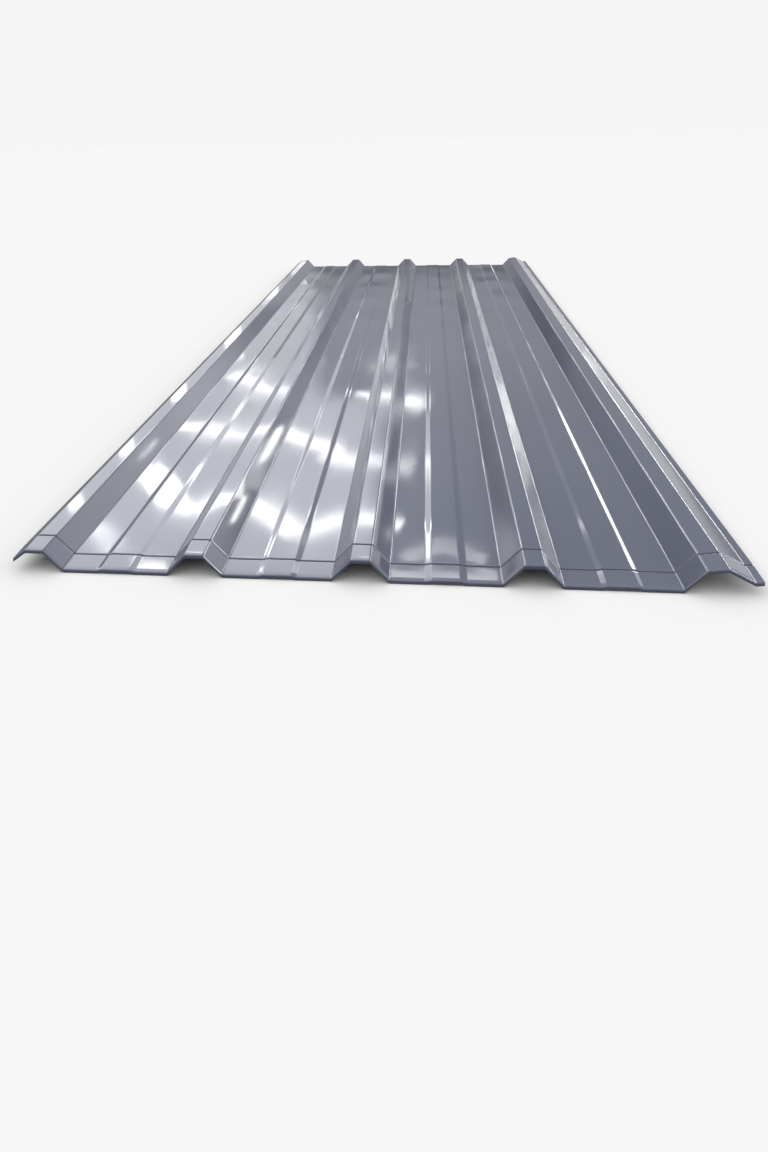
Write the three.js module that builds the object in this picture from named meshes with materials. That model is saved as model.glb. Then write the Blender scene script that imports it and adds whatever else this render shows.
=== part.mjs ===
// Trapezoidal roofing sheet, roll-formed from one strip of coated steel coil.
//
// The strip is bent twice over. Across its width it follows the rolled section: five ribs,
// four pans with a shallow raised middle, an underlap flange on the left and an overlap
// flange with a flat lip on the right. Along its length it follows the pressed eaves end:
// a crease right across the sheet and a front edge turned down as a drip lip.
//
// Units are millimetres. X runs across the sheet, Y along it with the eaves end at -Y, and
// Z points up. The origin is the middle of the sheet's footprint, on the surface it lies on.

import * as THREE from 'three';
import { mergeVertices } from 'three/addons/utils/BufferGeometryUtils.js';

// The strip.
const SHEET_LENGTH = 3000;
const SHEET_THICKNESS = 0.5;

// The ribs and pans. Every width is measured between bend corners on the sheet's mid-plane.
const RIB_COUNT = 5;
const RIB_PITCH = 205;
const RIB_HEIGHT = 25;
const RIB_CROWN_WIDTH = 23.5;
const RIB_BASE_WIDTH = 70;
const BEND_RADIUS = 3;

// The stiffening rise in the middle of each pan.
const RISE_HEIGHT = 1.5;
const RISE_WIDTH = 42;
const RISE_SLOPE_WIDTH = 7;
const RISE_BEND_RADIUS = 14;

// The two long edges, each hanging from the crown of its outer rib. The overlap rib is opened
// about the inner edge of its crown, so that it slips over the next sheet's underlap rib.
const UNDERLAP_WIDTH = 17;
const UNDERLAP_DROP = 12.25;
const OVERLAP_WIDTH = 29;
const OVERLAP_DROP = 19.5;
const OVERLAP_LIP_WIDTH = 9;
const OVERLAP_OPENING = THREE.MathUtils.degToRad(7);

// The pressed eaves end.
const CREASE_TO_FRONT = 47;
const CREASE_HALF_WIDTH = 3;
const CREASE_DEPTH = 1.1;
const CREASE_BEND_RADIUS = 3;
const EAVES_FALL = 1.2;
const DRIP_LIP_HEIGHT = 4;
const DRIP_BEND_RADIUS = 1.2;

// The facets in each rounded bend.
const BEND_SEGMENTS = 3;

/** One corner of a bent path, and the radius that its bend is rounded to. */
function corner(along, height, radius = 0) {
  return { at: new THREE.Vector2(along, height), radius };
}

/** The direction square to a path's heading, on the side that faces up when it runs to the right. */
function leftOf(heading) {
  return new THREE.Vector2(-heading.y, heading.x);
}

/**
 * Follows a row of corners with straight flats and round bends.
 * Returns the points of the path, each with the unit normal of the sheet there.
 */
function bentPath(corners) {
  const points = [];
  const last = corners.length - 1;
  for (let index = 0; index <= last; index += 1) {
    const here = corners[index];
    const arriving = here.at.clone().sub(corners[Math.max(index - 1, 0)].at).normalize();
    const leaving = corners[Math.min(index + 1, last)].at.clone().sub(here.at).normalize();
    if (index === 0 || index === last) {
      points.push({ at: here.at.clone(), normal: leftOf(index === 0 ? leaving : arriving) });
      continue;
    }
    const turn = Math.atan2(arriving.cross(leaving), arriving.dot(leaving));
    const side = Math.sign(turn);
    const setback = here.radius * Math.tan(Math.abs(turn) / 2);
    const start = here.at.clone().addScaledVector(arriving, -setback);
    const centre = start.clone().addScaledVector(leftOf(arriving), side * here.radius);
    for (let step = 0; step <= BEND_SEGMENTS; step += 1) {
      const angle = (turn * step) / BEND_SEGMENTS;
      const normal = leftOf(arriving).rotateAround(new THREE.Vector2(), angle);
      points.push({ at: centre.clone().addScaledVector(normal, -side * here.radius), normal });
    }
  }
  return points;
}

/** The two corners of a web that rises from a pan to a crown, in the order left to right. */
function risingWeb(ribMiddle) {
  return [
    corner(ribMiddle - RIB_BASE_WIDTH / 2, 0, BEND_RADIUS),
    corner(ribMiddle - RIB_CROWN_WIDTH / 2, RIB_HEIGHT, BEND_RADIUS),
  ];
}

/** The two corners of a web that falls from a crown to a pan, in the order left to right. */
function fallingWeb(ribMiddle) {
  return [
    corner(ribMiddle + RIB_CROWN_WIDTH / 2, RIB_HEIGHT, BEND_RADIUS),
    corner(ribMiddle + RIB_BASE_WIDTH / 2, 0, BEND_RADIUS),
  ];
}

/** The corners of the underlap edge, from its tip to the first rib's crown. */
function underlapCorners(ribMiddle) {
  const crownEdge = ribMiddle - RIB_CROWN_WIDTH / 2;
  return [
    corner(crownEdge - UNDERLAP_WIDTH, RIB_HEIGHT - UNDERLAP_DROP),
    corner(crownEdge, RIB_HEIGHT, BEND_RADIUS),
  ];
}

/** The corners past the last rib's hinge line: the crown's outer edge, the lip's bend and its tip. */
function overlapCorners(ribMiddle) {
  const hinge = new THREE.Vector2(ribMiddle - RIB_CROWN_WIDTH / 2, RIB_HEIGHT);
  const crownEdge = ribMiddle + RIB_CROWN_WIDTH / 2;
  const lipHeight = RIB_HEIGHT - OVERLAP_DROP;
  const corners = [
    corner(crownEdge, RIB_HEIGHT, BEND_RADIUS),
    corner(crownEdge + OVERLAP_WIDTH, lipHeight, BEND_RADIUS),
    corner(crownEdge + OVERLAP_WIDTH + OVERLAP_LIP_WIDTH, lipHeight),
  ];
  corners.forEach(({ at }) => at.rotateAround(hinge, OVERLAP_OPENING));
  return corners;
}

/** The corners of the rise in the middle of one pan. */
function riseCorners(middle) {
  const outer = (RISE_WIDTH + RISE_SLOPE_WIDTH) / 2;
  const inner = (RISE_WIDTH - RISE_SLOPE_WIDTH) / 2;
  return [
    corner(middle - outer, 0, RISE_BEND_RADIUS),
    corner(middle - inner, RISE_HEIGHT, RISE_BEND_RADIUS),
    corner(middle + inner, RISE_HEIGHT, RISE_BEND_RADIUS),
    corner(middle + outer, 0, RISE_BEND_RADIUS),
  ];
}

/** The rolled section across the sheet, from the underlap edge to the tip of the overlap lip. */
function sectionPath() {
  const firstRib = (-(RIB_COUNT - 1) * RIB_PITCH) / 2;
  const corners = underlapCorners(firstRib);
  for (let pan = 0; pan < RIB_COUNT - 1; pan += 1) {
    const ribMiddle = firstRib + pan * RIB_PITCH;
    corners.push(...fallingWeb(ribMiddle));
    corners.push(...riseCorners(ribMiddle + RIB_PITCH / 2));
    corners.push(...risingWeb(ribMiddle + RIB_PITCH));
  }
  corners.push(...overlapCorners(-firstRib));
  return bentPath(corners);
}

/** The path along the sheet, from the tip of the drip lip, over the crease, to the far end. */
function lengthPath() {
  const front = -SHEET_LENGTH / 2 + SHEET_THICKNESS / 2;
  const crease = -SHEET_LENGTH / 2 + CREASE_TO_FRONT;
  return bentPath([
    corner(front, -EAVES_FALL - SHEET_THICKNESS / 2 - DRIP_LIP_HEIGHT),
    corner(front, -EAVES_FALL, DRIP_BEND_RADIUS),
    corner(crease - CREASE_HALF_WIDTH, 0, CREASE_BEND_RADIUS),
    corner(crease, -CREASE_DEPTH, CREASE_BEND_RADIUS),
    corner(crease + CREASE_HALF_WIDTH, 0, CREASE_BEND_RADIUS),
    corner(SHEET_LENGTH / 2, 0),
  ]);
}

/**
 * Forms the sheet from a flat blank that has one row of vertices for each point of the
 * section, one for each point of the length path, and one for each face of the steel.
 */
function formedSheet(section, length) {
  const columns = section.length - 1;
  const rows = length.length - 1;
  const blank = new THREE.BoxGeometry(columns, rows, 1, columns, rows, 1);
  blank.deleteAttribute('normal');
  blank.deleteAttribute('uv');
  const sheet = mergeVertices(blank);
  const position = sheet.getAttribute('position');
  for (let vertex = 0; vertex < position.count; vertex += 1) {
    const across = section[Math.round(position.getX(vertex) + columns / 2)];
    const along = length[Math.round(position.getY(vertex) + rows / 2)];
    const face = Math.sign(position.getZ(vertex)) * (SHEET_THICKNESS / 2);
    position.setXYZ(
      vertex,
      across.at.x + across.normal.x * along.normal.y * face,
      along.at.x + along.normal.x * face,
      across.at.y + along.at.y + across.normal.y * along.normal.y * face,
    );
  }
  sheet.computeBoundingBox();
  sheet.computeVertexNormals();
  return sheet;
}

const steelCoating = new THREE.MeshStandardMaterial({
  color: 0x484d5e,
  roughness: 0.2,
  metalness: 0.0,
});

const corrugatedSheet = new THREE.Mesh(formedSheet(sectionPath(), lengthPath()), steelCoating);
corrugatedSheet.name = 'corrugated_sheet';

// Centre the footprint, and lay the drip lip's edge on the surface.
const { min, max } = corrugatedSheet.geometry.boundingBox;
corrugatedSheet.position.set(-(min.x + max.x) / 2, -(min.y + max.y) / 2, -min.z);

const roofingSheet = new THREE.Group();
roofingSheet.add(corrugatedSheet);

export default roofingSheet;
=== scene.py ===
"""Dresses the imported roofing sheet: one roll-formed sheet of glossy coated steel.

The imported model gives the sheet's place and size. This script forms the visible sheet from
the same rolled section and pressed eaves end, paints its two coats and its bare cut edges,
and sets a plain studio round it. Lengths are in metres, X runs across the sheet, Y along it
with the eaves end at -Y, and Z points up.
"""

import logging
import math
from dataclasses import dataclass, field
from enum import Enum, IntEnum

import bmesh
import bpy
from bmesh.types import BMEdge, BMesh, BMVert
from bpy.types import ID, Material, Node, NodeSocket as Socket, NodeTree, Object, World
from mathutils import Matrix, Vector, noise


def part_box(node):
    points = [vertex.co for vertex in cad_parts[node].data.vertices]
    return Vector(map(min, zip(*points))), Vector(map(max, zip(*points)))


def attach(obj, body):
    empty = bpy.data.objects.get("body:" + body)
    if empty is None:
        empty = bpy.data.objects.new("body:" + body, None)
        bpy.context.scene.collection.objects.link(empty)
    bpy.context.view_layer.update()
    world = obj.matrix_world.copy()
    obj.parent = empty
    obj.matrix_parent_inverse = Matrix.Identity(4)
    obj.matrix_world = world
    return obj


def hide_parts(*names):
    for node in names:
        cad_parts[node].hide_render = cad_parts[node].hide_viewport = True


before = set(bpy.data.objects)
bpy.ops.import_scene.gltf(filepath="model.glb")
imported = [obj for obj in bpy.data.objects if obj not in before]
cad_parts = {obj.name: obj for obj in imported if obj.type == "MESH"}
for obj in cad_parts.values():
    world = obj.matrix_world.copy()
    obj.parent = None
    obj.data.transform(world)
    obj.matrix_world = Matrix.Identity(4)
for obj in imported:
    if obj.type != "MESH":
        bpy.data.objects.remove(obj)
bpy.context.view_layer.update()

MM = 0.001
SHEET_NODE = "corrugated_sheet"
BODY = "root"

Pair = tuple[float, float]
Triple = tuple[float, float, float]
Stops = tuple[Pair, ...]

logging.basicConfig(level=logging.INFO, format="%(name)s: %(message)s")
LOG = logging.getLogger("roofing_sheet")


class SteelSide(IntEnum):
    """The sides of the steel, in the order of the sheet's material slots."""

    TOP_COAT = 0
    BACKING_COAT = 1
    CUT_EDGE = 2


class Flank(Enum):
    """The two long sides of the sheet."""

    UNDERLAP = "underlap"
    OVERLAP = "overlap"


class BendKind(Enum):
    """The two kinds of rolled bend: a sharp one at a rib and a soft one at a pan's rise."""

    RIB = "rib"
    RISE = "rise"


@dataclass(frozen=True)
class Corner:
    """One corner of the rolled section, where two flats would meet without their bend."""

    x: float
    z: float
    bend: BendKind = BendKind.RIB


@dataclass(frozen=True)
class RolledSection:
    """The rolled section across the sheet, on the steel's mid-plane, with rib 3 at x = 0."""

    rib_count: int = 5
    rib_pitch: float = 205 * MM
    rib_height: float = 25 * MM
    crown_width: float = 23.5 * MM
    base_width: float = 70 * MM
    bend_radius: float = 3 * MM
    rise_height: float = 1.5 * MM
    rise_width: float = 42 * MM
    rise_slope_width: float = 7 * MM
    rise_bend_radius: float = 14 * MM
    underlap_width: float = 17 * MM
    underlap_drop: float = 12.25 * MM
    overlap_width: float = 29 * MM
    overlap_drop: float = 19.5 * MM
    overlap_lip_width: float = 9 * MM
    overlap_opening: float = math.radians(7)

    @property
    def first_rib(self) -> float:
        """The first rib's middle."""
        return -(self.rib_count - 1) / 2 * self.rib_pitch

    def rib_middles(self) -> list[float]:
        """The middles of all ribs, from the underlap side."""
        return [self.first_rib + rib * self.rib_pitch for rib in range(self.rib_count)]

    def pan_middles(self) -> list[float]:
        """The middles of all pans, from the underlap side."""
        return [middle + self.rib_pitch / 2 for middle in self.rib_middles()[:-1]]

    def underlap(self) -> list[Corner]:
        """The underlap edge's tip, and the outer edge of the first rib's crown."""
        crown_edge = self.first_rib - self.crown_width / 2
        tip = Corner(crown_edge - self.underlap_width, self.rib_height - self.underlap_drop)
        return [tip, Corner(crown_edge, self.rib_height)]

    def falling_web(self, rib: float) -> list[Corner]:
        """The right edge of a rib's crown and the foot below it, from the rib's middle."""
        crown_edge = Corner(rib + self.crown_width / 2, self.rib_height)
        return [crown_edge, Corner(rib + self.base_width / 2, 0.0)]

    def rising_web(self, rib: float) -> list[Corner]:
        """The left foot of a rib and the crown's edge above it, from the rib's middle."""
        foot = Corner(rib - self.base_width / 2, 0.0)
        return [foot, Corner(rib - self.crown_width / 2, self.rib_height)]

    def rise(self, pan: float) -> list[Corner]:
        """The raised middle of a pan.

        Args:
            pan: the pan's middle.

        Returns:
            The four corners of the rise, left to right.
        """
        outer = (self.rise_width + self.rise_slope_width) / 2
        inner = (self.rise_width - self.rise_slope_width) / 2
        places = ((-outer, 0.0), (-inner, self.rise_height), (inner, self.rise_height), (outer, 0.0))
        return [Corner(pan + across, height, BendKind.RISE) for across, height in places]

    def overlap(self) -> list[Corner]:
        """The overlap edge, opened about the inner edge of the last rib's crown."""
        last_rib = -self.first_rib
        hinge = Vector((last_rib - self.crown_width / 2, self.rib_height))
        turn = Matrix.Rotation(self.overlap_opening, 2)
        crown_edge = last_rib + self.crown_width / 2
        lip_height = self.rib_height - self.overlap_drop
        closed = [
            Vector((crown_edge, self.rib_height)),
            Vector((crown_edge + self.overlap_width, lip_height)),
            Vector((crown_edge + self.overlap_width + self.overlap_lip_width, lip_height)),
        ]
        opened = [hinge + turn @ (point - hinge) for point in closed]
        return [Corner(point.x, point.y) for point in opened]

    def corners(self) -> list[Corner]:
        """All corners of the section, from the underlap edge to the overlap lip's tip."""
        corners = self.underlap()
        for rib, pan in zip(self.rib_middles(), self.pan_middles()):
            corners += self.falling_web(rib)
            corners += self.rise(pan)
            corners += self.rising_web(rib + self.rib_pitch)
        return corners + self.overlap()

    def setback(self, bend: BendKind) -> float:
        """How far a bend starts before its corner.

        Args:
            bend: which kind of bend it is.

        Returns:
            The distance along the flat from the bend's start to its corner.
        """
        if bend is BendKind.RISE:
            slope = math.atan2(self.rise_height, self.rise_slope_width)
            return self.rise_bend_radius * math.tan(slope / 2)
        web_run = (self.base_width - self.crown_width) / 2
        return self.bend_radius * math.tan(math.atan2(self.rib_height, web_run) / 2)


@dataclass(frozen=True)
class EavesPress:
    """The pressed eaves end: a crease across the sheet and a turned-down drip lip."""

    crease_to_front: float = 47 * MM
    crease_half_width: float = 3 * MM
    crease_depth: float = 1.1 * MM
    fall: float = 1.2 * MM
    lip_height: float = 4 * MM
    lip_bend_radius: float = 1.2 * MM
    lip_bend_steps: int = 5
    crease_rows: int = 10
    ripple_row_spacing: float = 9 * MM
    ripple_row_count: int = 9

    def drop(self, from_front: float) -> float:
        """How far the press lowers the sheet.

        Args:
            from_front: distance from the front edge.

        Returns:
            The drop below the unpressed sheet.
        """
        sloping = self.crease_to_front - self.crease_half_width
        fall = self.fall * max(0.0, 1 - from_front / sloping)
        reach = abs(from_front - self.crease_to_front) / self.crease_half_width
        crease = self.crease_depth * (0.5 + 0.5 * math.cos(math.pi * min(reach, 1.0)))
        return fall + crease

    def rows(self) -> list[float]:
        """Distances from the front edge where the press needs a row of vertices."""
        start = self.crease_to_front - self.crease_half_width
        step = 2 * self.crease_half_width / self.crease_rows
        across_crease = [start + step * row for row in range(self.crease_rows + 1)]
        margin = self.crease_half_width / 2
        end = across_crease[-1] + margin
        ripple_rows = [end + self.ripple_row_spacing * row for row in range(self.ripple_row_count + 1)]
        quarters = [start * quarter / 4 for quarter in (1, 2, 3)]
        return [*quarters, start - margin, *across_crease, *ripple_rows]


@dataclass(frozen=True)
class OilCanning:
    """The slight waviness of thin rolled pans, which bends what the gloss reflects."""

    near_depth: float = 0.5 * MM
    far_depth: float = 1.2 * MM
    deepening: Pair = (900 * MM, 1600 * MM)
    length_wave: float = 190 * MM
    width_wave: float = 150 * MM
    fine_depth: float = 0.08 * MM
    fine_wave: float = 62 * MM
    ripple_depth: float = 0.16 * MM
    ripple_wave: float = 21 * MM
    ripple_reach: float = 75 * MM
    calm_near_press: float = 140 * MM
    broad_layer: float = 2.0
    fine_layer: float = 7.0
    ripple_layer: float = 11.0

    def patch(self, x: float, y: float, wave: Vector, layer: float) -> float:
        """A smooth random height within about 0.5, in patches as long as the wave, from one layer."""
        return noise.noise(Vector((x / wave.x, y / wave.y, layer)))

    def height(self, x: float, y: float, pan_share: float, past_crease: float) -> float:
        """The waviness at one point of the sheet.

        Args:
            x: place across the sheet.
            y: place along the sheet.
            pan_share: 0 at a rib's foot, rising to 1 in the middle of a pan.
            past_crease: distance from the pressed crease towards the far end.

        Returns:
            The height to add to the flat pan.
        """
        calm = min(max(past_crease / self.calm_near_press, 0.0), 1.0)
        start, end = self.deepening
        deepened = min(max((past_crease - start) / (end - start), 0.0), 1.0)
        depth = self.near_depth + (self.far_depth - self.near_depth) * deepened
        broad = depth * self.patch(x, y, Vector((self.width_wave, self.length_wave)), self.broad_layer)
        fine = self.fine_depth * self.patch(x, y, Vector((self.fine_wave,) * 2), self.fine_layer)
        fading = max(0.0, 1.0 - abs(past_crease) / self.ripple_reach)
        ripple = self.ripple_depth * self.patch(x, y, Vector((self.ripple_wave,) * 2), self.ripple_layer)
        return pan_share * (calm * (broad + fine) + fading * ripple)


def in_scene(name: str, data: ID) -> Object:
    """Makes an object and links it into the scene.

    Args:
        name: the object's name.
        data: its mesh, light or camera.

    Returns:
        The object.
    """
    item = bpy.data.objects.new(name, data)
    bpy.context.scene.collection.objects.link(item)
    return item


def shaped(name: str, shape: BMesh) -> Object:
    """Turns a finished shape into an object of the scene.

    Args:
        name: the name of the object and of its mesh.
        shape: the shape, which is freed.

    Returns:
        The object.
    """
    mesh = bpy.data.meshes.new(name)
    shape.to_mesh(mesh)
    shape.free()
    return in_scene(name, mesh)


class NodeBoard:
    """A node tree, with short ways of adding what the finishes and the surround share."""

    def __init__(self, tree: NodeTree) -> None:
        """Keeps the tree that the nodes go into."""
        self.tree = tree

    def add(self, kind: str, **settings: object) -> Node:
        """Adds a node.

        Args:
            kind: the node's type name.
            **settings: node properties to set.

        Returns:
            The new node.
        """
        node = self.tree.nodes.new(kind)
        for name, value in settings.items():
            setattr(node, name, value)
        return node

    def put(self, slot: Socket, value: object) -> None:
        """Links an input to a socket, or sets it to a plain value.

        Args:
            slot: the input.
            value: a socket, a number or a colour.
        """
        if isinstance(value, Socket):
            self.tree.links.new(value, slot)
        else:
            slot.default_value = value

    def feed(self, node: Node, **values: object) -> Node:
        """Feeds a node's inputs by name, with spaces written as underscores.

        Args:
            node: the node.
            **values: a socket or a plain value for each input.

        Returns:
            The same node.
        """
        for name, value in values.items():
            self.put(node.inputs[name.replace("_", " ")], value)
        return node

    def axes(self, coordinates: str) -> list[Socket]:
        """Splits texture coordinates into their axes.

        Args:
            coordinates: which texture coordinates.

        Returns:
            The sockets of X, Y and Z.
        """
        places = self.add("ShaderNodeTexCoord").outputs[coordinates]
        split = self.feed(self.add("ShaderNodeSeparateXYZ"), Vector=places)
        return [split.outputs[axis] for axis in "XYZ"]

    def calculate(self, operation: str, *values: object) -> Socket:
        """Adds one step of arithmetic.

        Args:
            operation: the Math node's operation.
            *values: numbers or sockets.

        Returns:
            The result's socket.
        """
        step = self.add("ShaderNodeMath", operation=operation)
        for slot, value in zip(step.inputs, values):
            self.put(slot, value)
        return step.outputs["Value"]

    def ranged(self, source: Socket, low: object, high: object, start: object = 0.3,
               end: object = 0.7, easing: str = "LINEAR") -> Socket:
        """Maps a value to a range, and holds it at the range's ends.

        Args:
            source: the value.
            low: the result at the start and before it.
            high: the result at the end and past it.
            start: where the range starts. Left out, it suits a soft noise, as the end does.
            end: where the range ends.
            easing: the kind of change in between.

        Returns:
            The result's socket.
        """
        mapped = self.add("ShaderNodeMapRange", interpolation_type=easing)
        self.feed(mapped, Value=source, From_Min=start, From_Max=end, To_Min=low, To_Max=high)
        return mapped.outputs["Result"]

    def stepped(self, source: Socket, start: object, end: object) -> Socket:
        """A smooth step from 0 at a value's start to 1 at its end."""
        return self.ranged(source, 0.0, 1.0, start, end, "SMOOTHSTEP")

    def blended(self, share: Socket, first: object, second: object, blend: str = "MIX") -> Socket:
        """Blends two colours.

        Args:
            share: 0 for the first colour alone and 1 for the full blend.
            first: the first colour, or its socket.
            second: the second colour, or its socket.
            blend: how the second colour is laid over the first.

        Returns:
            The colour's socket.
        """
        mix = self.add("ShaderNodeMix", data_type="RGBA", blend_type=blend)
        self.put(mix.inputs["Factor"], share)
        for name, colour in (("A", first), ("B", second)):
            self.put(mix.inputs[name], (*colour, 1.0) if isinstance(colour, tuple) else colour)
        return mix.outputs["Result"]

    def cloud(self, patches: Triple, detail: float) -> Socket:
        """A soft noise from 0 to 1 on object coordinates.

        Args:
            patches: patches per metre along each axis.
            detail: octaves of finer noise.

        Returns:
            The noise's socket.
        """
        places = self.add("ShaderNodeTexCoord").outputs["Object"]
        mapping = self.feed(self.add("ShaderNodeMapping"), Vector=places, Scale=patches)
        pattern = self.feed(self.add("ShaderNodeTexNoise"), Vector=mapping.outputs["Vector"], Scale=1.0,
                            Detail=detail, Roughness=0.5)
        return pattern.outputs["Fac"]

    def band(self, middle: float, half_width: float) -> Socket:
        """A soft-edged band straight across the piece.

        Args:
            middle: the band's middle, measured along Y.
            half_width: distance from its middle to where it ends.

        Returns:
            A socket that is 1 in the band and 0 beside it.
        """
        _, along, _ = self.axes("Object")
        distance = self.calculate("ABSOLUTE", self.calculate("SUBTRACT", along, middle))
        return self.ranged(distance, 1.0, 0.0, half_width / 2, half_width)

    def bumped(self, height: Socket, depth: float, under: Socket | None = None,
               strength: float = 0.2) -> Socket:
        """Turns a height pattern into a bump.

        Args:
            height: the pattern.
            depth: the height of the pattern in metres.
            under: a bump that this one lies on.
            strength: how strongly it shows.

        Returns:
            The normal's socket.
        """
        bump = self.feed(self.add("ShaderNodeBump"), Height=height, Strength=strength, Distance=depth)
        if under is not None:
            self.put(bump.inputs["Normal"], under)
        return bump.outputs["Normal"]


class Finish:
    """A procedural finish, which starts from a plain node material."""

    name: str = "finish"

    def start(self) -> tuple[Material, NodeBoard, Node]:
        """Makes the plain material.

        Returns:
            The material, its node board and its shader.
        """
        material = bpy.data.materials.new(self.name)
        material.use_nodes = True
        board = NodeBoard(material.node_tree)
        return material, board, board.tree.nodes["Principled BSDF"]


@dataclass(frozen=True)
class GlossTopCoat(Finish):
    """The glossy blue-grey paint of the weather side, with a painted shade line darkening the pressed
    crease.
    """

    crease_place: float
    name: str = "gloss_blue_grey_top_coat"
    deep: Triple = (0.060, 0.068, 0.104)
    pale: Triple = (0.072, 0.081, 0.120)
    patches_per_metre: Triple = (3.0, 1.2, 3.0)
    roughness: Pair = (0.045, 0.10)
    haze_per_metre: Triple = (9.0, 4.0, 9.0)
    haze_range: Pair = (0.38, 0.75)
    orange_peel_per_metre: Triple = (420.0, 420.0, 420.0)
    orange_peel_depth: float = 0.012 * MM
    roller_lines_per_metre: Triple = (4.0, 130.0, 4.0)
    roller_line_depth: float = 0.02 * MM
    # painted shade: a darker, rougher band across the pressed crease stands in for the shade that falls in
    # it
    painted_crease_shade: Triple = (0.012, 0.015, 0.026)
    painted_crease_shade_roughness: float = 0.4
    painted_crease_shade_half_width: float = 2.4 * MM
    refraction: float = 1.5

    def material(self) -> Material:
        """Builds the paint: shade patches, a painted shade line in the crease, handling haze, orange peel
        and roller lines.
        """
        material, board, shader = self.start()
        patches = board.ranged(board.cloud(self.patches_per_metre, 3.0), 0.0, 1.0)
        colour = board.blended(patches, self.deep, self.pale)
        # mask of the painted shade band across the crease
        crease = board.band(self.crease_place, self.painted_crease_shade_half_width)
        haze = board.cloud(self.haze_per_metre, 6.0)
        roughness = board.ranged(haze, *self.roughness, *self.haze_range)
        peel = board.bumped(board.cloud(self.orange_peel_per_metre, 1.0), self.orange_peel_depth)
        lines = board.cloud(self.roller_lines_per_metre, 2.0)
        # the crease band darkens the base colour and raises the roughness: painted shade, not dirt
        board.feed(shader, IOR=self.refraction, Base_Color=board.blended(crease, colour, self.painted_crease_shade),
                   Roughness=board.blended(crease, roughness, (self.painted_crease_shade_roughness,) * 3),
                   Normal=board.bumped(lines, self.roller_line_depth, peel))
        return material


@dataclass(frozen=True)
class BackingCoat(Finish):
    """The thin light-grey coat of the underside."""

    name: str = "light_grey_backing_coat"
    deep: Triple = (0.40, 0.41, 0.41)
    pale: Triple = (0.50, 0.51, 0.50)
    streaks_per_metre: Triple = (60.0, 1.5, 60.0)
    roughness: Pair = (0.42, 0.6)
    haze_per_metre: Triple = (14.0, 6.0, 14.0)
    lines_per_metre: Triple = (300.0, 6.0, 300.0)
    line_depth: float = 0.05 * MM

    def material(self) -> Material:
        """Builds the coat: a streaky, half-matt primer with rolled-in lines along the strip."""
        material, board, shader = self.start()
        streaks = board.ranged(board.cloud(self.streaks_per_metre, 4.0), 0.0, 1.0)
        lines = board.cloud(self.lines_per_metre, 2.0)
        board.feed(shader, Base_Color=board.blended(streaks, self.deep, self.pale),
                   Roughness=board.ranged(board.cloud(self.haze_per_metre, 5.0), *self.roughness),
                   Normal=board.bumped(lines, self.line_depth))
        return material


@dataclass(frozen=True)
class ShearedEdge(Finish):
    """The bare galvanised steel that the shear leaves at the sheet's edges."""

    name: str = "bare_galvanised_cut_edge"
    bright: Triple = (0.55, 0.56, 0.57)
    dull: Triple = (0.30, 0.31, 0.32)
    torn_patches_per_metre: Triple = (900.0, 900.0, 900.0)
    roughness: Pair = (0.5, 0.3)

    def material(self) -> Material:
        """Builds the edge: bright sheared metal with duller torn patches."""
        material, board, shader = self.start()
        torn = board.cloud(self.torn_patches_per_metre, 3.0)
        colour = board.blended(board.ranged(torn, 0.0, 1.0), self.dull, self.bright)
        board.feed(shader, Base_Color=colour, Roughness=board.ranged(torn, *self.roughness), Metallic=1.0)
        return material


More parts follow.
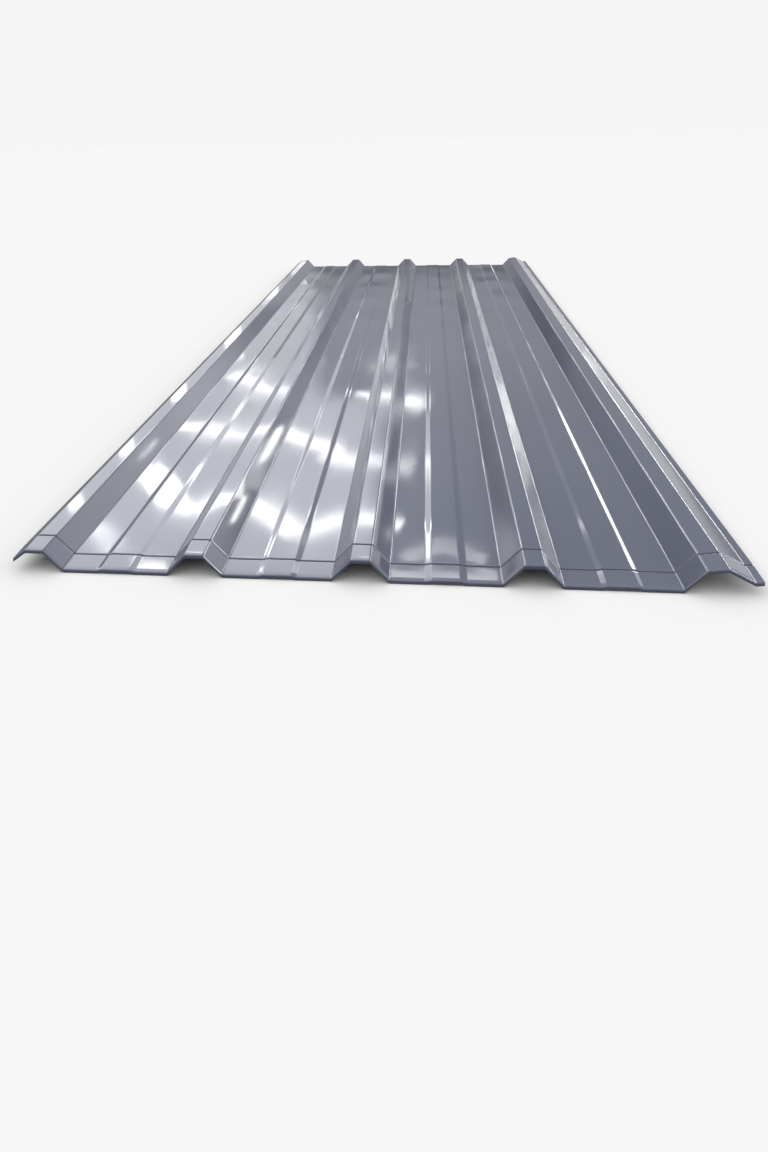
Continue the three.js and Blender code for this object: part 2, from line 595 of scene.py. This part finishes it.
@dataclass
class RoofingSheet:
    """The visible sheet, formed from the rolled section and the pressed eaves end."""

    section: RolledSection = field(default_factory=RolledSection)
    press: EavesPress = field(default_factory=EavesPress)
    waviness: OilCanning = field(default_factory=OilCanning)
    thickness: float = 0.5 * MM
    rib_bend_segments: int = 4
    rise_bend_segments: int = 3
    bend_margin: float = 0.5 * MM
    widest_column: float = 12 * MM
    row_spacing: float = 38 * MM
    steepest_rise: float = math.radians(20)
    foot_steepness: float = 0.7
    touching: float = 0.001 * MM

    def __post_init__(self) -> None:
        """Reads the sheet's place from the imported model."""
        self.low, self.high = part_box(SHEET_NODE)

    @property
    def front(self) -> float:
        """The mid-plane of the drip lip."""
        return self.low[1] + self.thickness / 2

    @property
    def centre_shift(self) -> Vector:
        """The offset from the section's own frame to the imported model's."""
        corners = self.section.corners()
        edge = Vector((corners[1].x - corners[0].x, corners[1].z - corners[0].z)).normalized()
        left = corners[0].x - edge.y * self.thickness / 2
        raised = self.press.fall + self.thickness / 2 + self.press.lip_height
        return Vector((self.low[0] - left, 0.0, self.low[2] + raised))

    def flat_strip(self) -> BMesh:
        """Draws the section's corners as one row of vertices and extrudes it along the sheet."""
        sheet = bmesh.new()
        shift = self.centre_shift
        row = [sheet.verts.new((corner.x + shift.x, self.front, corner.z + shift.z))
               for corner in self.section.corners()]
        edges = [sheet.edges.new(pair) for pair in zip(row, row[1:])]
        grown = bmesh.ops.extrude_edge_only(sheet, edges=edges)["geom"]
        ends = [item for item in grown if isinstance(item, BMVert)]
        bmesh.ops.translate(sheet, verts=ends, vec=(0.0, self.high[1] - self.front, 0.0))
        sheet.normal_update()
        return sheet

    def round_bends(self, sheet: BMesh) -> None:
        """Rounds every rolled bend.

        Args:
            sheet: the strip with sharp corners.
        """
        bends: dict[BendKind, list[BMEdge]] = {kind: [] for kind in BendKind}
        for edge in sheet.edges:
            if len(edge.link_faces) == 2:
                is_rise = edge.calc_face_angle() < self.steepest_rise
                bends[BendKind.RISE if is_rise else BendKind.RIB].append(edge)
        segments = {BendKind.RIB: self.rib_bend_segments, BendKind.RISE: self.rise_bend_segments}
        for kind, edges in bends.items():
            bmesh.ops.bevel(sheet, geom=edges, offset=self.section.setback(kind), offset_type="OFFSET",
                            segments=segments[kind], profile=0.5, affect="EDGES", material=-1)

    def cut(self, sheet: BMesh, axis: Vector, place: float) -> None:
        """Cuts vertices into the sheet straight across an axis at one place, and removes nothing."""
        everything = [*sheet.verts, *sheet.edges, *sheet.faces]
        bmesh.ops.bisect_plane(sheet, geom=everything, dist=self.touching / 10, plane_co=axis * place,
                               plane_no=axis)

    def cut_columns(self, sheet: BMesh) -> None:
        """Cuts each flat into columns: a narrow one beside each bend, and even ones between.

        Args:
            sheet: the strip with its rounded bends.
        """
        corners = self.section.corners()
        shift = self.centre_shift.x
        for before, after in zip(corners, corners[1:]):
            run = Vector((after.x - before.x, after.z - before.z))
            lean = run.x / run.length
            start = before.x + (self.section.setback(before.bend) + self.bend_margin) * lean
            end = after.x - (self.section.setback(after.bend) + self.bend_margin) * lean
            columns = max(1, math.ceil((end - start) / self.widest_column))
            for column in range(columns + 1):
                place = start + (end - start) * column / columns + shift
                self.cut(sheet, Vector((1.0, 0.0, 0.0)), place)

    def cut_rows(self, sheet: BMesh) -> None:
        """Cuts the sheet into rows, closer together across the press.

        Args:
            sheet: the strip with its columns.
        """
        pressed = self.press.rows()
        length = self.high[1] - self.front
        even = math.ceil((length - pressed[-1]) / self.row_spacing)
        spacing = (length - pressed[-1]) / even
        rows = pressed + [pressed[-1] + spacing * row for row in range(1, even)]
        for row in rows:
            self.cut(sheet, Vector((0.0, 1.0, 0.0)), self.front + row)

    def pan_share(self, x: float) -> float:
        """How far into a pan a place lies.

        Args:
            x: place across the sheet, in the section's own frame.

        Returns:
            0 outside the pans and at a rib's foot, rising to 1 in a pan's middle.
        """
        half_pan = (self.section.rib_pitch - self.section.base_width) / 2
        nearest = min(abs(x - pan) for pan in self.section.pan_middles())
        return math.cos(math.pi / 2 * min(nearest / half_pan, 1.0)) ** self.foot_steepness

    def press_and_wave(self, sheet: BMesh) -> None:
        """Lowers the pressed end and adds the waviness of the pans.

        Args:
            sheet: the sheet with its rows and columns.
        """
        shift = self.centre_shift.x
        for vertex in sheet.verts:
            x, y, _ = vertex.co
            from_front = y - self.front
            past_crease = from_front - self.press.crease_to_front
            wave = self.waviness.height(x, y, self.pan_share(x - shift), past_crease)
            vertex.co.z += wave - self.press.drop(from_front)

    def turn_lip_down(self, sheet: BMesh) -> None:
        """Turns the front edge down round a small bend and ends it in the straight drip lip.

        Args:
            sheet: the pressed sheet, whose front row is pulled back to the bend's start first.
        """
        radius, steps = self.press.lip_bend_radius, self.press.lip_bend_steps
        front_row = [vertex for vertex in sheet.verts if vertex.co.y < self.front + self.touching]
        bmesh.ops.translate(sheet, verts=front_row, vec=(0.0, radius, 0.0))
        bend_start = self.front + radius
        edge = [line for line in sheet.edges
                if line.is_boundary and all(v.co.y < bend_start + self.touching for v in line.verts)]
        angles = [math.pi / 2 * step / steps for step in range(steps + 1)]
        turned = [(radius * math.sin(angle), radius * (1 - math.cos(angle))) for angle in angles]
        straight = self.press.lip_height + self.thickness / 2 - radius
        moves = [(after[0] - before[0], after[1] - before[1]) for before, after in zip(turned, turned[1:])]
        moves += [(0.0, straight / 2)] * 2
        for forward, down in moves:
            grown = bmesh.ops.extrude_edge_only(sheet, edges=edge)["geom"]
            edge = [item for item in grown if isinstance(item, BMEdge)]
            tips = [item for item in grown if isinstance(item, BMVert)]
            bmesh.ops.translate(sheet, verts=tips, vec=(0.0, -forward, -down))

    def build(self) -> Object:
        """Forms the sheet.

        Returns:
            The sheet's object, with the steel's thickness as a modifier.
        """
        sheet = self.flat_strip()
        self.round_bends(sheet)
        self.cut_columns(sheet)
        self.cut_rows(sheet)
        self.press_and_wave(sheet)
        self.turn_lip_down(sheet)
        bmesh.ops.remove_doubles(sheet, verts=sheet.verts, dist=self.touching)
        bmesh.ops.recalc_face_normals(sheet, faces=sheet.faces)
        if sum(face.normal.z for face in sheet.faces) < 0:
            bmesh.ops.reverse_faces(sheet, faces=sheet.faces)
        for face in sheet.faces:
            face.smooth = True
        for edge in sheet.edges:
            edge.smooth = not edge.is_boundary
        piece = shaped("coated_roofing_sheet", sheet)
        steel = piece.modifiers.new("steel_thickness", "SOLIDIFY")
        steel.thickness = self.thickness
        steel.offset = 0.0
        steel.use_even_offset = True
        steel.material_offset = int(SteelSide.BACKING_COAT)
        steel.material_offset_rim = int(SteelSide.CUT_EDGE)
        return piece

    def dress(self, piece: Object) -> None:
        """Paints the sheet, attaches it to the body and hides the imported part.

        Args:
            piece: the formed sheet.
        """
        finishes = {
            SteelSide.TOP_COAT: GlossTopCoat(self.front + self.press.crease_to_front),
            SteelSide.BACKING_COAT: BackingCoat(),
            SteelSide.CUT_EDGE: ShearedEdge(),
        }
        for side in SteelSide:
            piece.data.materials.append(finishes[side].material())
        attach(piece, BODY)
        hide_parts(SHEET_NODE)


@dataclass(frozen=True)
class StudioFloor(Finish):
    """A plain level floor in pale paint, with shades of its own for what the sheet gets from it.

    The light that it throws back is lower, and the gloss mirrors it dark, and paler only beside
    the overlap from about the sheet's middle on.
    """

    name: str = "pale_floor"
    half_size: float = 60.0
    shade: float = 0.64
    lighting_shade: float = 0.30
    mirrored_shade: float = 0.16
    mirrored_beside_overlap: float = 0.62
    beside: Pair = (0.46, 0.80)
    past_middle: Pair = (-0.6, 0.2)
    roughness: float = 0.9

    def material(self) -> Material:
        """Builds the paint, which gives each kind of light ray its shade."""
        material, board, shader = self.start()
        across, along, _ = board.axes("Object")
        beside_overlap = board.ranged(along, self.mirrored_shade, self.mirrored_beside_overlap,
                                      *self.past_middle)
        mirrored = board.ranged(across, self.mirrored_shade, beside_overlap, *self.beside)
        rays = board.add("ShaderNodeLightPath").outputs
        plain = board.ranged(rays["Is Diffuse Ray"], self.shade, self.lighting_shade, 0.0, 1.0)
        board.feed(shader, Base_Color=board.ranged(rays["Is Glossy Ray"], plain, mirrored, 0.0, 1.0),
                   Roughness=self.roughness, Specular_IOR_Level=0.0)
        return material

    def build(self) -> Object:
        """Lays the floor at the height the sheet lies on."""
        ground = bmesh.new()
        bmesh.ops.create_grid(ground, x_segments=1, y_segments=1, size=self.half_size)
        floor = shaped("floor", ground)
        floor.data.materials.append(self.material())
        return floor


def even_shares(count: int) -> list[float]:
    """How far along a row each of its places lies, from 0 to 1."""
    return [index / max(1, count - 1) for index in range(count)]


class PanelGroup:
    """Rectangular lights of even brightness, which the camera sees only in the gloss."""

    name: str
    brightness: float

    def hang(self, index: int, place: Vector, size: Pair, aim: Vector, turn: float = 0.0) -> Object:
        """Hangs one panel, turns its face to its aim, and then turns it about the upright axis.

        Args:
            index: the panel's place in the group, from 0.
            place: its middle.
            size: its two sides.
            aim: the point that it faces.
            turn: the turn about the upright axis.

        Returns:
            The light's object.
        """
        light = bpy.data.lights.new(f"{self.name}_{index + 1}", "AREA")
        light.shape = "RECTANGLE"
        light.size, light.size_y = size
        light.energy = self.brightness * math.pi * size[0] * size[1]
        panel = in_scene(light.name, light)
        panel.location = place
        panel.rotation_euler = (aim - place).to_track_quat("-Z", "Y").to_euler()
        panel.rotation_euler.z += turn
        panel.visible_camera = False
        return panel


@dataclass(frozen=True)
class WallRow(PanelGroup):
    """A row of equal upright panels, placed from rib 3's foot at the front edge."""

    name: str
    first: Triple
    last: Triple
    count: int
    size: Pair
    brightness: float

    def build(self, origin: Vector) -> list[Object]:
        """Sets up the row, measured from the origin, and gives its panels."""
        places = [origin + Vector(self.first).lerp(Vector(self.last), share)
                  for share in even_shares(self.count)]
        return [self.hang(index, place, self.size, Vector((origin.x, origin.y, place.z)))
                for index, place in enumerate(places)]


@dataclass(frozen=True)
class CeilingRow(PanelGroup):
    """A row of equal ceiling panels, placed by where the camera sees them mirrored in the pans.

    The row's ends are headings and heights in degrees, and the size is in degrees too.
    """

    name: str
    first: Pair
    last: Pair
    count: int
    size: Pair
    brightness: float
    distance: float = 14.0

    def build(self, mirrored_eye: Vector) -> list[Object]:
        """Hangs the row.

        Args:
            mirrored_eye: the camera's mirror image below the pans.

        Returns:
            The panels' objects.
        """
        size = tuple(2 * self.distance * math.tan(math.radians(angle) / 2) for angle in self.size)
        panels = []
        for index, share in enumerate(even_shares(self.count)):
            azimuth, height = (math.radians(a + (b - a) * share) for a, b in zip(self.first, self.last))
            heading = Vector((math.sin(azimuth) * math.cos(height), math.cos(azimuth) * math.cos(height),
                              math.sin(height)))
            panels.append(self.hang(index, mirrored_eye + heading * self.distance, size, mirrored_eye))
        return panels


@dataclass(frozen=True)
class CeilingBand(PanelGroup):
    """A chain of level ceiling panels, placed by where the camera sees it mirrored in the pans.

    Each spot gives a place across the sheet from rib 3 and a place along it from the front edge.
    The panels hang farther up the same lines of sight, larger by the enlargement.
    """

    name: str
    spots: tuple[Pair, ...]
    width: float
    brightness: float
    enlargement: float = 9.2
    joint_overlap: float = 1 / 3

    def build(self, mirrored_eye: Vector, origin: Vector) -> list[Object]:
        """Hangs the chain.

        Args:
            mirrored_eye: the camera's mirror image below the pans.
            origin: the place that the spots are measured from.

        Returns:
            The panels' objects.
        """
        joints = [mirrored_eye + (origin + Vector((*spot, 0.0)) - mirrored_eye) * self.enlargement
                  for spot in self.spots]
        width = self.width * self.enlargement
        panels = []
        for index, (start, end) in enumerate(zip(joints, joints[1:])):
            run = end - start
            place = (start + end) / 2
            panels.append(self.hang(index, place, (run.length + width * self.joint_overlap, width),
                                    place - Vector((0.0, 0.0, 1.0)), math.atan2(run.y, run.x)))
        return panels


@dataclass(frozen=True)
class GlossStrip:
    """A long bright strip beside the sheet, which only the gloss mirrors.

    Its three limits have soft edges: each is a pair, dark at the first value and fully lit at the
    second. The bottom and the top are rises over the sideways distance. The start is an angle off
    the sheet's heading in degrees, and where its pair falls, the strip is lit nearer the heading.
    """

    beside: Flank
    bottom: Pair
    top: Pair
    start: Pair
    brightness: float


class WorldBoard(NodeBoard):
    """A world's node board, with its directions as sockets: their height, lean and sideways slopes."""

    def __init__(self, tree: NodeTree, least_distance: float) -> None:
        """Works out the slopes.

        Args:
            tree: the world's node tree.
            least_distance: what a slope is divided by at least.
        """
        super().__init__(tree)
        x, y, self.height = self.axes("Generated")
        ahead, beside = (self.calculate("MAXIMUM", self.calculate("ABSOLUTE", axis), least_distance)
                         for axis in (y, x))
        self.lean = self.calculate("DIVIDE", self.height, beside)
        rightward = self.calculate("DIVIDE", x, ahead)
        self.toward = {Flank.UNDERLAP: self.calculate("MULTIPLY", rightward, -1.0), Flank.OVERLAP: rightward}


@dataclass(frozen=True)
class Surround:
    """The soft surround that the gloss mirrors, brightness by height, and a pale backdrop.

    Straight ahead it is dim. On the underlap's side a hazy bright ceiling starts a few degrees
    out, and on the overlap's side a low bright wall. Its strips are a narrow bright slot along that
    wall, which only the rolled bends mirror, a dim glow above the slot near the sheet's heading,
    and two dim wide ones low on the underlap's side, which the webs mirror. Angles are in degrees.
    """

    backdrop: float = 0.9185
    top_of_scale: float = 4.0
    ahead: Stops = (
        (0.0, 0.22), (1.8, 0.24), (2.8, 0.36), (4.0, 0.38), (5.2, 0.16), (6.4, 0.13), (7.2, 0.22),
        (7.8, 0.37), (10.8, 0.46), (13.3, 0.47), (22.0, 0.58), (27.0, 0.75), (35.0, 1.1), (90.0, 1.2))
    ceiling: Stops = (
        (0.0, 0.15), (6.4, 0.28), (8.5, 1.0), (14.0, 1.5), (20.0, 2.4), (26.0, 3.0), (40.0, 2.2),
        (90.0, 1.2))
    wall: Stops = (
        (0.0, 1.1), (2.0, 1.0), (3.6, 0.72), (8.6, 0.7), (10.5, 1.45), (12.0, 1.62), (20.0, 1.9),
        (35.0, 1.6), (60.0, 1.2))
    low_ceiling_start: Pair = (5.0, 7.0)
    high_ceiling_start: Pair = (1.0, 3.5)
    start_change: Pair = (13.6, 15.0)
    ceiling_edge: Pair = (0.62, 0.76)
    wall_top: Pair = (1.15, 0.90)
    wall_start: Pair = (8.5, 15.5)
    shoulder: float = 0.13
    shoulder_start: Pair = (-9.0, 2.0)
    gloss_tint: Triple = (0.985, 0.992, 1.03)
    least_distance: float = 0.001
    strips: tuple[GlossStrip, ...] = (
        GlossStrip(Flank.OVERLAP, (0.580, 0.606), (0.687, 0.655), (8.5, 12.0), 18.0),
        GlossStrip(Flank.OVERLAP, (0.660, 0.720), (1.000, 0.900), (10.2, 9.0), 0.45),
        GlossStrip(Flank.UNDERLAP, (0.200, 0.240), (0.480, 0.400), (1.0, 3.0), 0.9),
        GlossStrip(Flank.UNDERLAP, (0.130, 0.150), (0.215, 0.195), (20.5, 23.0), 0.7),
    )

    def graded(self, board: WorldBoard, stops: Stops) -> Socket:
        """Grades the brightness by the height above the horizon.

        Args:
            board: the world's node board.
            stops: pairs of height angle in degrees and brightness.

        Returns:
            The brightness as a share of the top of the scale.
        """
        ramp = board.feed(board.add("ShaderNodeValToRGB"), Fac=board.height)
        elements = ramp.color_ramp.elements
        while len(elements) < len(stops):
            elements.new(1.0)
        for element, (angle, brightness) in zip(elements, stops):
            element.position = math.sin(math.radians(angle))
            element.color = (*(brightness / self.top_of_scale,) * 3, 1.0)
        return ramp.outputs["Color"]

    def tangents(self, angles: Pair) -> list[float]:
        """The tangents of angles in degrees."""
        return [math.tan(math.radians(angle)) for angle in angles]

    def ceiling_share(self, board: WorldBoard) -> Socket:
        """Where the hazy ceiling shows: above its edge and past its start, which shifts with height.

        Args:
            board: the world's node board.

        Returns:
            The ceiling's share of the light, from 0 to 1.
        """
        heights = (math.sin(math.radians(angle)) for angle in self.start_change)
        change = board.stepped(board.height, *heights)
        limits = [board.calculate("MULTIPLY_ADD", change, high - low, low) for low, high
                  in zip(self.tangents(self.low_ceiling_start), self.tangents(self.high_ceiling_start))]
        sideways = board.toward[Flank.UNDERLAP]
        shoulder = board.stepped(sideways, *self.tangents(self.shoulder_start))
        hazy = board.calculate("MAXIMUM", board.stepped(sideways, *limits),
                               board.calculate("MULTIPLY", shoulder, self.shoulder))
        return board.calculate("MULTIPLY", hazy, board.stepped(board.lean, *self.ceiling_edge))

    def wall_share(self, board: WorldBoard) -> Socket:
        """The low wall's share of the light: below its top, and past its start beside the overlap."""
        sideways = board.stepped(board.toward[Flank.OVERLAP], *self.tangents(self.wall_start))
        return board.calculate("MULTIPLY", board.stepped(board.lean, *self.wall_top), sideways)

    def strip_share(self, board: WorldBoard, strip: GlossStrip) -> Socket:
        """How much of a strip shows: above its bottom, below its top and past its start.

        Args:
            board: the world's node board.
            strip: the strip.

        Returns:
            The share of the strip's brightness, from 0 to 1.
        """
        bottom, top = (board.stepped(board.lean, *limit) for limit in (strip.bottom, strip.top))
        sideways = board.stepped(board.toward[strip.beside], *self.tangents(strip.start))
        return board.calculate("MULTIPLY", board.calculate("MULTIPLY", bottom, top), sideways)

    def brightness(self, board: WorldBoard, glossy: Socket) -> Socket:
        """The surround's brightness in every direction.

        Args:
            board: the world's node board.
            glossy: 1 for what the gloss mirrors and 0 otherwise.

        Returns:
            The brightness as a share of the top of the scale.
        """
        level = self.graded(board, self.ahead)
        for share, stops in ((self.ceiling_share(board), self.ceiling), (self.wall_share(board), self.wall)):
            level = board.blended(share, level, self.graded(board, stops))
        for strip in self.strips:
            share = board.calculate("MULTIPLY", self.strip_share(board, strip), glossy)
            level = board.calculate("MULTIPLY_ADD", share, strip.brightness / self.top_of_scale, level)
        return level

    def build(self) -> World:
        """Paints the surround, with an even backdrop where the camera looks straight at it.

        Returns:
            The world.
        """
        world = bpy.data.worlds.new("soft_surround")
        world.use_nodes = True
        board = WorldBoard(world.node_tree, self.least_distance)
        rays = board.add("ShaderNodeLightPath").outputs
        level = self.brightness(board, rays["Is Glossy Ray"])
        tinted = board.blended(rays["Is Glossy Ray"], level, self.gloss_tint, "MULTIPLY")
        mirrored = board.feed(board.tree.nodes["Background"], Color=tinted, Strength=self.top_of_scale)
        backdrop = board.feed(board.add("ShaderNodeBackground"), Color=(1.0, 1.0, 1.0, 1.0),
                              Strength=self.backdrop)
        seen = board.add("ShaderNodeMixShader")
        sources = (rays["Is Camera Ray"], mirrored.outputs["Background"], backdrop.outputs["Background"])
        for slot, source in zip(seen.inputs, sources):
            board.put(slot, source)
        board.feed(board.tree.nodes["World Output"], Surface=seen.outputs["Shader"])
        bpy.context.scene.world = world
        return world


@dataclass(frozen=True)
class Studio:
    """Soft studio light: the surround, and rows of panels that the gloss mirrors."""

    surround: Surround = field(default_factory=Surround)
    ceiling_bands: tuple[CeilingBand, ...] = (
        CeilingBand("band_1", ((-0.352, 1.04), (-0.30, 1.005), (-0.26, 0.93), (-0.205, 0.895)), 0.038, 5.0),
        CeilingBand("band_2", ((-0.375, 0.645), (-0.317, 0.628), (-0.25, 0.60), (-0.174, 0.622),
                               (-0.13, 0.56), (-0.07, 0.515)), 0.04, 5.5),
        CeilingBand("band_2_end", ((-0.085, 0.478), (-0.042, 0.455), (0.055, 0.43)), 0.05, 4.5),
        CeilingBand("band_3_start", ((-0.375, 0.40), (-0.33, 0.325), (-0.30, 0.26)), 0.052, 6.5),
        CeilingBand("band_3", ((-0.30, 0.252), (-0.25, 0.212), (-0.22, 0.252), (-0.18, 0.245),
                               (-0.13, 0.205), (-0.092, 0.14), (-0.042, 0.192), (0.036, 0.178)), 0.042, 6.5),
        CeilingBand("band_4", ((-0.375, 0.13), (-0.335, 0.098)), 0.028, 6.5),
        CeilingBand("band_4_front", ((-0.335, 0.03), (-0.25, 0.018)), 0.025, 4.5),
        CeilingBand("band_4_end", ((-0.168, 0.022), (-0.125, 0.014)), 0.016, 2.2),
        CeilingBand("band_5_start", ((-0.058, 0.893), (-0.02, 0.88)), 0.034, 5.0),
        CeilingBand("band_5", ((-0.02, 0.872), (0.068, 0.835)), 0.062, 5.0),
        CeilingBand("crown_glow", ((-0.012, 1.18), (0.012, 1.17)), 0.15, 1.0),
        CeilingBand("press_glow", ((0.052, 0.066), (0.098, 0.098), (0.15, 0.07)), 0.026, 3.0),
    )
    ceiling_rows: tuple[CeilingRow, ...] = (
        CeilingRow("ceiling_edge_row", (-21.2, 19.7), (-11.0, 10.8), 4, (0.9, 0.8), 6.0),
        CeilingRow("far_edge_panel", (-8.75, 7.9), (-8.75, 7.9), 1, (0.9, 0.8), 6.0, 28.0),
        CeilingRow("far_edge_haze", (-7.05, 6.95), (-7.05, 6.95), 1, (0.9, 0.7), 1.7, 28.0),
        CeilingRow("eaves_row", (-17.5, 26.8), (-14.5, 27.6), 2, (2.0, 1.2), 7.0),
        CeilingRow("front_panel", (1.0, 28.2), (1.0, 28.2), 1, (8.0, 2.2), 3.0),
    )
    wall_rows: tuple[WallRow, ...] = (
        WallRow("right_upper_row", (2.9, 6.5, 1.95), (1.95, 6.5, 1.2), 3, (0.5, 0.34), 5.0),
        WallRow("rib_1_streak", (1.575, 6.5, 1.607), (1.70, 6.5, 1.71), 4, (0.04, 0.035), 5.0),
        WallRow("rib_2_streak_far", (1.60, 6.5, 0.765), (1.84, 6.5, 0.875), 6, (0.05, 0.042), 9.0),
        WallRow("rib_2_streak_near", (2.22, 6.5, 1.035), (2.42, 6.5, 1.12), 5, (0.05, 0.036), 7.5),
        WallRow("right_window_gap", (1.98, 6.5, 0.935), (1.98, 6.5, 0.935), 1, (0.27, 0.14), 1.2),
        WallRow("right_lower_row", (1.9, 6.5, 0.69), (1.66, 6.5, 0.59), 2, (0.28, 0.18), 1.8),
        WallRow("right_far_row", (1.4, 6.5, 0.47), (0.85, 6.5, 0.27), 3, (0.3, 0.14), 0.7),
        WallRow("rib_3_patch", (1.89, 6.5, 0.04), (2.09, 6.5, 0.045), 3, (0.10, 0.08), 2.0),
        WallRow("rib_4_streak", (2.09, 6.5, 0.788), (2.25, 6.5, 0.848), 2, (0.17, 0.09), 1.5),
    )

    def build(self, camera: Object, origin: Vector,
              piece: Object) -> list[Object]:
        """Sets all the lights. The panels light the sheet alone, so that the floor stays even.

        Args:
            camera: the camera, whose mirror image places the ceiling panels.
            origin: rib 3's foot at the front edge, on the pans' top face.
            piece: the sheet's object.

        Returns:
            The light objects.
        """
        self.surround.build()
        bpy.context.scene.view_settings.view_transform = "Standard"
        mirrored_eye = camera.location.copy()
        mirrored_eye.z = 2 * origin.z - mirrored_eye.z
        lights = []
        for band in self.ceiling_bands:
            lights += band.build(mirrored_eye, origin)
        for row in self.ceiling_rows:
            lights += row.build(mirrored_eye)
        for row in self.wall_rows:
            lights += row.build(origin)
        lit = bpy.data.collections.new("lit_by_panels")
        lit.objects.link(piece)
        for light in lights:
            light.light_linking.receiver_collection = lit
        return lights


@dataclass(frozen=True)
class StudioCamera:
    """The camera that looks down the sheet from its eaves end."""

    image_width: int = 768
    image_height: int = 1152
    focal_pixels: float = 961.0
    principal_x: float = 284.0
    from_front: float = 1.056
    across: float = 0.0626
    above_pans: float = 0.490
    pitch: float = 0.4303
    yaw: float = -0.1462
    roll: float = 0.0278
    sensor: float = 36.0
    clip: Pair = (0.01, 500.0)

    def build(self, sheet: RoofingSheet) -> Object:
        """Places the camera.

        Args:
            sheet: the sheet it looks along.

        Returns:
            The camera's object.
        """
        data = bpy.data.cameras.new("camera")
        data.sensor_width = self.sensor
        data.lens = self.focal_pixels / self.image_height * self.sensor
        data.shift_x = (self.image_width / 2 - self.principal_x) / self.image_height
        data.clip_start, data.clip_end = self.clip
        camera = in_scene("camera", data)
        shift = sheet.centre_shift
        forward = Vector((math.sin(self.yaw) * math.cos(self.pitch),
                          math.cos(self.yaw) * math.cos(self.pitch), -math.sin(self.pitch)))
        level = Vector((math.cos(self.yaw), -math.sin(self.yaw), 0.0))
        down = forward.cross(level)
        right = math.cos(self.roll) * level + math.sin(self.roll) * down
        up = -(math.cos(self.roll) * down - math.sin(self.roll) * level)
        axes = Matrix((right, up, -forward)).transposed()
        camera.rotation_euler = axes.to_euler()
        camera.location = (self.across + shift.x, sheet.low[1] - self.from_front, self.above_pans + shift.z)
        bpy.context.scene.camera = camera
        return camera


def main() -> None:
    """Builds the camera, the sheet and the studio in order."""
    sheet = RoofingSheet()
    camera = StudioCamera().build(sheet)
    LOG.info("camera placed")
    piece = sheet.build()
    sheet.dress(piece)
    LOG.info("sheet formed: %d faces before its thickness", len(piece.data.polygons))
    StudioFloor().build()
    LOG.info("floor laid")
    shift = sheet.centre_shift
    origin = Vector((shift.x, sheet.front, shift.z + sheet.thickness / 2))
    lights = Studio().build(camera, origin, piece)
    LOG.info("studio lit by %d panels", len(lights))


if __name__ == "__main__":
    main()
